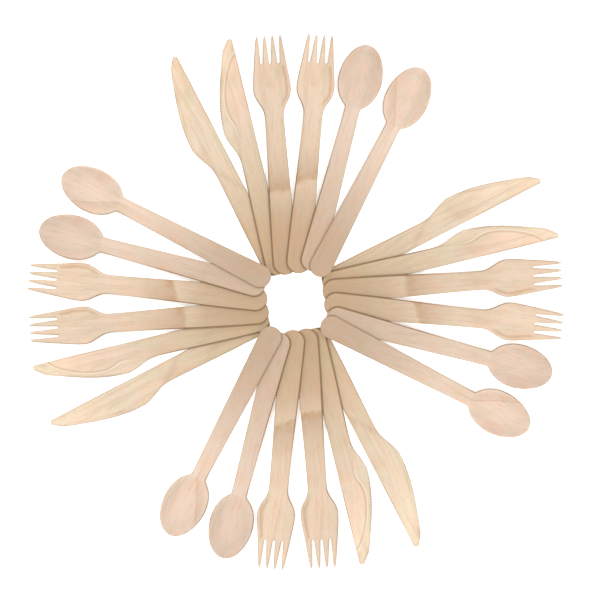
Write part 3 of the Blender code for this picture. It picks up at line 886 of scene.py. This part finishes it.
def knife_lower_marks(board, x, y, z, from_edge, left, wood):
    """A brown mark across the handle and a streak inside the edge, in the lower knives."""
    ragged = board.noise(board.vector(x * 0.25, y * 0.06, z)) - 0.5
    across = (y - 66.5 + x * 1.35 + ragged * 9.0).near(0.0, 5.0)
    streak = (x + 9.6 - (y - 112.0) * 0.25 + ragged * 2.0).near(0.0, 1.6)
    return ((across * 0.13, wood.stain_and_painted_shade), (streak * y.near(112.0, 14.0) * 0.20, wood.stain_and_painted_shade))


def cross_mark(height, slope, width):
    """A brown mark across a fork's handle: crisp toward the handle's end, and paler below it. Painted shade
    along the head's curled-up right side.
    """
    def marks(board, x, y, z, from_edge, left, wood):
        ragged = board.noise(board.vector(x * 0.30, y * 0.14, z)) - 0.5
        patchy = board.noise(board.vector(x * 0.22, y * 0.13, z + 5.0))
        off = y - height - x * slope + ragged * 5.0
        mark = off.step(-1.8, 1.4) * off.step(width, 1.4) * (patchy.step(0.40, 0.60) * 0.75 + 0.25)
        below = off.step(0.5, -1.5) * off.step(-16.0, -2.0)
        ends = x.size().step(1.0, 6.5) * 0.5 + 0.6
        # Painted shade along the head's right side, which curls up away from the light.
        right_side_shade = (from_edge + ragged * 1.4).near(2.7, 1.6) * left.step(-0.2, -0.7) * x.step(4.5, 6.5)
        right_side_shade = right_side_shade * y.step(101.0, 112.0) * y.step(146.0, 134.0)
        broad = off.step(-1.0, 2.5) * off.step(width * 2.6, 2.0)
        return ((mark * ends * 0.56, wood.scorch_and_painted_shade), (broad * 0.19, wood.stain_and_painted_shade),
                (below * 0.07, wood.fresh_wood_and_highlight), (right_side_shade * 0.45, wood.scorch_and_painted_shade))
    return marks


def spoon_crest_shade(board, x, y, z, from_edge, left, wood):
    """Painted shade down the middle of the handle and into the bowl's left side: a dark line, and a darker
    strip to its left.
    """
    ragged = board.noise(board.vector(x * 0.3, y * 0.03, z)) - 0.5
    route = x - 0.6 + (y - 107.0).most(0.0) * 0.46 + ragged * 2.0
    run = y.step(84.0, 108.0) * y.step(143.0, 132.0)
    # A dark line, and painted shade to its left.
    return ((route.near(0.0, 1.1) * run * 0.18, wood.stain_and_painted_shade),
            (route.step(0.5, -0.5) * route.step(-9.0, 0.0) * run * 0.17, wood.scorch_and_painted_shade))


# How the wood of each layer looks, as shares of birch's effects
LOOKS = {
    "knife_lower": dict(hub_shaded=0.81, paled=0.7, figured=1.35, edge_shadowed=0.3, bevelled=0.3, marks=knife_lower_marks),
    "knife_upper": dict(hub_shaded=0.98, paled=0.7, figured=1.0, bevelled=1.0),
    "fork_lower": dict(hub_shaded=0.96, paled=0.3, figured=0.9, marks=cross_mark(48.3, 0.06, 9.0)),
    "fork_upper": dict(hub_shaded=0.90, paled=0.3, figured=0.9, marks=cross_mark(54.5, 0.38, 11.0)),
    "spoon_lower": dict(hub_shaded=0.86, figured=0.7),
    "spoon_upper": dict(hub_shaded=1.05, figured=0.7, edge_shadowed=0.0, marks=spoon_crest_shade),
}


# Operators

def make_layer(scene, kind, layer, outline, sheet, form, inputs, crease=(), thin_share=1.0):
    """Press and finish a layer's sheet, and lay a piece of it in each fan."""
    veneer, wood = scene.cutlery_veneer, scene.cutlery_wood
    end_radius = getattr(scene, "cutlery_" + kind).end_radius
    pale, deep = getattr(wood, kind + "_pale"), getattr(wood, kind + "_deep")
    material = birch(layer, pale, deep, wood, **LOOKS[layer])
    inputs = {**inputs, "Warp": veneer.warp, "Warp Span": veneer.warp_span}
    press(sheet, "press " + layer, inputs, form, material)
    shape = finish_sheet(sheet, veneer, outline, crease, thin_share)
    shape.materials.clear()
    shape.materials.append(material)
    for fan in FANS:
        node = "fan%d_%s" % (fan, layer)
        set_down(node, shape, seat_of(node, end_radius, kind == "knife"), SLICE * fan)


class CUTLERY_OT_knives(bpy.types.Operator):
    """Make the eight knives: lower ones with a narrow bevel, upper ones with a wide bevel"""
    bl_idname = "cutlery.knives"
    bl_label = "Knives"

    def execute(self, context):
        size, veneer = context.scene.cutlery_knife, context.scene.cutlery_veneer
        end, tip_arc, edge, sweep, hip, wide = knife_parts(size)
        quarter = size.tooth_pitch / 4
        cutting = stations(edge[::-1], quarter)
        outline = end + tip_arc + [point for point, _ in cutting][::-1] + sweep + hip[1:]
        edge_first = len(end) + len(tip_arc)
        last = edge_first + len(cutting)
        teeth = {last - 1 - k: (k * quarter, -left_of(way)) for k, (_, way) in enumerate(cutting)}
        bevels = {"knife_lower": (narrow_bevel_line(size, tip_arc, edge, sweep), edge_first),
                  "knife_upper": (wide_bevel_line(size, wide, edge, sweep), end.index(wide) + 1)}
        inputs = {"Tooth Pitch": size.tooth_pitch, "Tooth Depth": size.tooth_depth,
                  "Teeth Length": size.teeth_length}
        for layer, (crease, thin_first) in bevels.items():
            step = step_line(size, crease, outline)
            inner = surface_points(veneer, outline, size.waist_from_end, crease)
            thin = range(thin_first, last + len(sweep) - 1)
            sheet = blank(layer, outline, inner, crease, step, thin, 1 - size.step_depth, teeth)
            make_layer(context.scene, "knife", layer, outline, sheet, knife_press, inputs, crease,
                       size.edge_thickness / veneer.thickness)
        return {'FINISHED'}


class CUTLERY_OT_forks(bpy.types.Operator):
    """Make the eight forks"""
    bl_idname = "cutlery.forks"
    bl_label = "Forks"

    def execute(self, context):
        size, veneer = context.scene.cutlery_fork, context.scene.cutlery_veneer
        tip = size.full_length - size.end_radius
        start = tip - size.head_length - size.drop_start
        side = fork_side(size)
        outline = handle_end(size.end_radius) + side + fork_tines(size) + mirrored(side)
        inner = surface_points(veneer, outline, start - 2 * veneer.grid)
        inputs = {"Drop Start": start, "Drop Run": (tip - start) / (1 - size.tip_rise), "Drop": size.drop,
                  "Side Rise": size.side_rise, "Half Width": size.head_width / 2}
        for layer in ("fork_lower", "fork_upper"):
            sheet = blank(layer, outline, inner)
            make_layer(context.scene, "fork", layer, outline, sheet, fork_press, inputs)
        return {'FINISHED'}


class CUTLERY_OT_spoons(bpy.types.Operator):
    """Make the eight spoons"""
    bl_idname = "cutlery.spoons"
    bl_label = "Spoons"

    def execute(self, context):
        size, veneer = context.scene.cutlery_spoon, context.scene.cutlery_veneer
        middle, half_width, half_length = bowl_place(size)
        outline = spoon_outline(size)
        inner = surface_points(veneer, outline, middle - half_length - 2 * veneer.grid)
        inputs = {"Middle": middle, "Half Width": half_width, "Half Length": half_length,
                  "Depth": size.bowl_depth, "Flatness": size.flatness, "Lip": size.lip}
        for layer in ("spoon_lower", "spoon_upper"):
            sheet = blank(layer, outline, inner)
            make_layer(context.scene, "spoon", layer, outline, sheet, spoon_press, inputs)
        return {'FINISHED'}


class CUTLERY_OT_stage(bpy.types.Operator):
    """Set the table, the light and the camera, which looks straight down"""
    bl_idname = "cutlery.stage"
    bl_label = "Stage"

    def execute(self, context):
        scene = context.scene
        stage = scene.cutlery_stage
        half = stage.floor_size / 2
        mesh = bpy.data.meshes.new("floor")
        mesh.from_pydata([(-half, -half, 0), (half, -half, 0), (half, half, 0), (-half, half, 0)], [],
                         [(0, 1, 2, 3)])
        floor = add_object("floor", mesh)
        floor.location.z = -FLOOR_DROP
        material = bpy.data.materials.new("floor paper")
        material.use_nodes = True
        Board(material.node_tree).fill(material.node_tree.nodes["Principled BSDF"], {
            "Base Color": stage.floor, "Roughness": 0.9, "Emission Color": WHITE,
            "Emission Strength": stage.glow})
        mesh.materials.append(material)

        world = bpy.data.worlds.new("soft sky")
        world.use_nodes = True
        Board(world.node_tree).fill(world.node_tree.nodes["Background"],
                                    {"Color": WHITE, "Strength": stage.sky})
        scene.world = world
        lamp = set_up(bpy.data.lights.new("lamp", 'SPOT'), energy=stage.lamp, spot_size=stage.lamp_beam,
                      spot_blend=stage.lamp_fade, shadow_soft_size=stage.lamp_radius)
        for fan in FANS:
            turn = Matrix.Rotation(math.radians(-90 * (fan - 1)), 3, 'Z')
            lamp_object = add_object("lamp", lamp)
            lamp_object.location = turn @ LAMP_PLACE
            beam = turn @ LAMP_AIM - lamp_object.location
            lamp_object.rotation_euler = beam.to_track_quat('-Z', 'Y').to_euler()

        camera = set_up(bpy.data.cameras.new("camera"), lens=stage.lens, clip_start=0.01, clip_end=20)
        camera_object = add_object("camera", camera)
        distance = stage.frame_width * stage.lens / camera.sensor_width
        camera_object.location = (stage.aim_x, stage.aim_y, distance)
        camera_object.rotation_euler.z = stage.camera_turn
        scene.camera = camera_object
        scene.view_settings.view_transform = 'Standard'
        return {'FINISHED'}


class CUTLERY_PT_panel(bpy.types.Panel):
    """The pieces of the layout, and their sizes"""
    bl_idname = "CUTLERY_PT_panel"
    bl_label = "Birch Cutlery"
    bl_space_type = 'VIEW_3D'
    bl_region_type = 'UI'
    bl_category = "Cutlery"

    def draw(self, context):
        for operator in OPERATORS:
            self.layout.operator(operator.bl_idname)
        for name in GROUPS:
            group = getattr(context.scene, name)
            box = self.layout.box()
            for field in group.__annotations__:
                box.prop(group, field)


OPERATORS = (CUTLERY_OT_knives, CUTLERY_OT_forks, CUTLERY_OT_spoons, CUTLERY_OT_stage)
GROUPS = {
    "cutlery_veneer": VeneerSizes,
    "cutlery_knife": KnifeSizes,
    "cutlery_fork": ForkSizes,
    "cutlery_spoon": SpoonSizes,
    "cutlery_wood": WoodColours,
    "cutlery_stage": StageSizes,
}


def register():
    for cls in (*GROUPS.values(), *OPERATORS, CUTLERY_PT_panel):
        bpy.utils.register_class(cls)
    for name, group in GROUPS.items():
        setattr(bpy.types.Scene, name, PointerProperty(type=group))


def unregister():
    for name in GROUPS:
        delattr(bpy.types.Scene, name)
    for cls in (CUTLERY_PT_panel, *OPERATORS[::-1], *list(GROUPS.values())[::-1]):
        bpy.utils.unregister_class(cls)


def main():
    register()
    bpy.ops.cutlery.knives()
    bpy.ops.cutlery.forks()
    bpy.ops.cutlery.spoons()
    bpy.ops.cutlery.stage()


if __name__ == "__main__":
    main()
